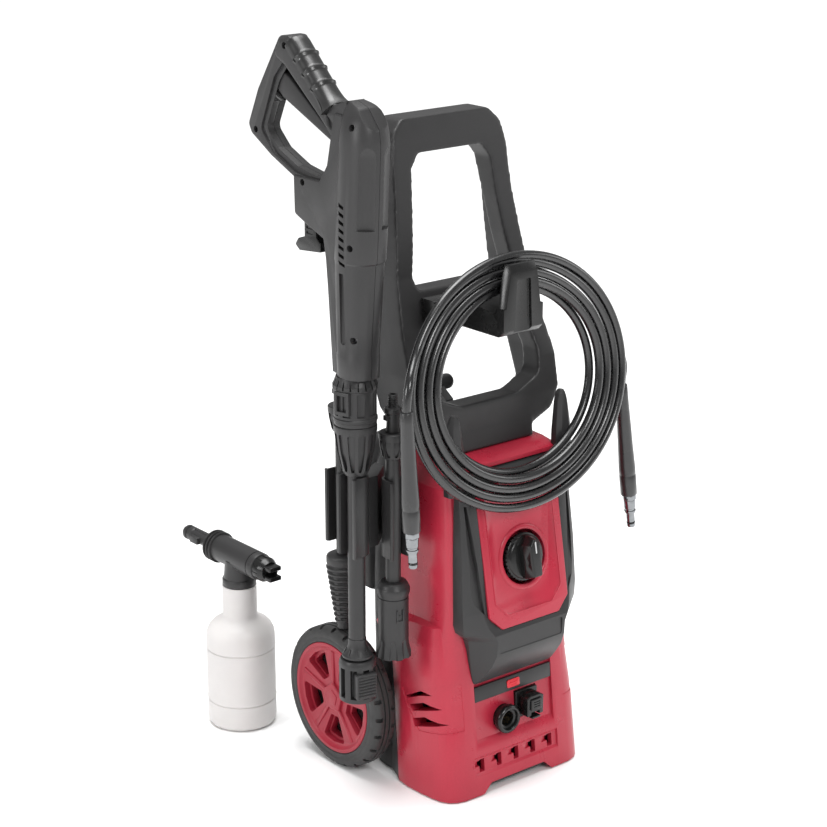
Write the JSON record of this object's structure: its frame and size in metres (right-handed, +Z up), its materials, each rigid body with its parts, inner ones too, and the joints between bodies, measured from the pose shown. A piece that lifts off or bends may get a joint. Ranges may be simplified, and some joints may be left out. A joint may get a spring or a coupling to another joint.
{
  "type": "pressure washer",
  "caption": "Upright electric pressure washer on two wheels with carry handle, clipped spray gun and spare lances, coiled hose on a front hook and a free-standing foam bottle",
  "frame": {"origin": "centre of the bounding box without the hose, at floor level", "axes": "+Z up, -Y the front with the control panel, +X the machine's own left as it faces -Y (the side without the spray gun)"},
  "size_m": [0.4147, 0.5076, 0.9046],
  "materials": {
    "red_casing": "satin moulded plastic with a fine texture",
    "red_wheel": "satin moulded plastic",
    "grey_casing": "fine spark-eroded texture",
    "gun_shell": "fine texture",
    "charcoal_plastic": "satin moulded plastic",
    "black_plastic": "gloss",
    "soft_rubber": "matte soft grip",
    "tyre": "matte moulded",
    "hose_rubber": "shiny extruded cover",
    "milky_plastic": "translucent blow-moulded",
    "steel": "turned",
    "motor_paint": "stoved paint",
    "chrome": "bright plated",
    "brass": "machined",
    "copper": null
  },
  "bodies": {
    "machine": {"front_housing": "red_casing", "rear_housing": "grey_casing", "base_plate": "charcoal_plastic", "left_foot": "soft_rubber", "right_foot": "soft_rubber", "front_bezel": "charcoal_plastic", "control_panel": "red_casing", "switch_box": "black_plastic", "label_band": "charcoal_plastic", "water_inlet": "charcoal_plastic", "inlet_nipple": "brass", "outlet_coupling": "charcoal_plastic", "cable_gland": "charcoal_plastic", "motor": "motor_paint", "pump_block": "brass", "capacitor": "black_plastic", "outlet_pipe": "copper", "inlet_pipe": "charcoal_plastic", "handle_frame": "grey_casing", "hose_hook": "charcoal_plastic", "cord_hook": "charcoal_plastic", "accessory_bracket": "charcoal_plastic", "axle": "steel", "hose_coil": "hose_rubber", "hose_lead_left": "hose_rubber", "hose_lead_right": "hose_rubber", "hose_sleeve_left": "hose_rubber", "hose_plug_left": "chrome", "hose_sleeve_right": "hose_rubber", "hose_plug_right": "chrome"},
    "left_wheel": {"left_wheel_disc": "red_wheel", "left_tyre": "tyre"},
    "right_wheel": {"right_wheel_disc": "red_wheel", "right_tyre": "tyre"},
    "rotor": {"motor_shaft": "steel", "cooling_fan": "charcoal_plastic"},
    "power_knob": {"power_knob": "charcoal_plastic"},
    "coupling_button": {"coupling_button": "charcoal_plastic"},
    "gun": {"gun_shell_left": "gun_shell", "gun_shell_right": "gun_shell", "gun_grip": "soft_rubber", "valve_body": "brass", "gun_coupling": "charcoal_plastic"},
    "trigger": {"trigger": "charcoal_plastic"},
    "valve_pin": {"valve_pin": "steel"},
    "hose_release": {"hose_release": "charcoal_plastic"},
    "working_lance": {"gun_lance_collar": "charcoal_plastic", "gun_lance_tube": "charcoal_plastic", "fan_nozzle_core": "charcoal_plastic"},
    "fan_nozzle": {"fan_nozzle_ring": "charcoal_plastic"},
    "turbo_lance": {"turbo_lance_collar": "charcoal_plastic", "turbo_lance_tube": "charcoal_plastic", "turbo_nozzle": "charcoal_plastic"},
    "cone_lance": {"cone_lance_collar": "charcoal_plastic", "cone_lance_tube": "charcoal_plastic", "cone_nozzle": "charcoal_plastic"},
    "foam_sprayer": {"foam_bottle": "milky_plastic", "foam_head": "charcoal_plastic", "pickup_tube": "milky_plastic"},
    "foam_nozzle": {"foam_nozzle": "charcoal_plastic"}
  },
  "joints": [
    {"name": "left_wheel_spin", "type": "hinge", "parent": "machine", "child": "left_wheel", "pos_m": [-0.1022, -0.04117, 0.09], "axis": [1, 0, 0], "continuous": true},
    {"name": "right_wheel_spin", "type": "hinge", "parent": "machine", "child": "right_wheel", "pos_m": [0.1598, -0.04117, 0.09], "axis": [1, 0, 0], "continuous": true},
    {"name": "rotor_spin", "type": "hinge", "parent": "machine", "child": "rotor", "pos_m": [0.0288, -0.12617, 0.3], "axis": [0, 0, 1], "continuous": true},
    {"name": "power_knob_turn", "type": "hinge", "parent": "machine", "child": "power_knob", "pos_m": [0.0288, -0.22567, 0.296], "axis": [0, -0.9833, 0.1822], "range_deg": [-90, 0]},
    {"name": "coupling_button_press", "type": "slide", "parent": "machine", "child": "coupling_button", "axis": [0, 0, 1], "range_m": [0, 0.004], "stiffness_N_per_m": 300, "springref_m": -0.002},
    {"name": "gun_lift_out", "type": "slide", "parent": "machine", "child": "gun", "axis": [-1, 0, 0], "range_m": [0, 0.06]},
    {"name": "trigger_pull", "type": "hinge", "parent": "gun", "child": "trigger", "pos_m": [-0.1512, -0.10117, 0.8], "axis": [1, 0, 0], "range_deg": [0, 8], "stiffness_Nm_per_rad": 2, "springref_deg": -8.59},
    {"name": "valve_pin_travel", "type": "slide", "parent": "gun", "child": "valve_pin", "axis": [0, -1, 0], "range_m": [0, 0.00238]},
    {"name": "hose_release_press", "type": "slide", "parent": "gun", "child": "hose_release", "axis": [0, 0, 1], "range_m": [0, 0.0035], "stiffness_N_per_m": 400, "springref_m": -0.003},
    {"name": "working_lance_twist", "type": "hinge", "parent": "gun", "child": "working_lance", "pos_m": [-0.1512, -0.13617, 0.47], "axis": [0, 0, 1], "range_deg": [0, 45]},
    {"name": "fan_nozzle_turn", "type": "hinge", "parent": "working_lance", "child": "fan_nozzle", "pos_m": [-0.1512, -0.13617, 0.16], "axis": [0, 0, 1], "range_deg": [0, 90]},
    {"name": "turbo_lance_pull_out", "type": "slide", "parent": "machine", "child": "turbo_lance", "axis": [0, -1, 0], "range_m": [0, 0.02]},
    {"name": "cone_lance_pull_out", "type": "slide", "parent": "machine", "child": "cone_lance", "axis": [-1, 0, 0], "range_m": [0, 0.04]},
    {"name": "foam_sprayer_lift", "type": "slide", "parent": "machine", "child": "foam_sprayer", "axis": [0, 0, 1], "range_m": [0, 0.1]},
    {"name": "foam_nozzle_turn", "type": "hinge", "parent": "foam_sprayer", "child": "foam_nozzle", "pos_m": [-0.1292, 0.07583, 0.226], "axis": [0, -1, 0], "range_deg": [0, 90]}
  ],
  "couplings": [
    {"joint": "valve_pin_travel", "follows": "trigger_pull", "m_per_rad": 0.017}
  ]
}
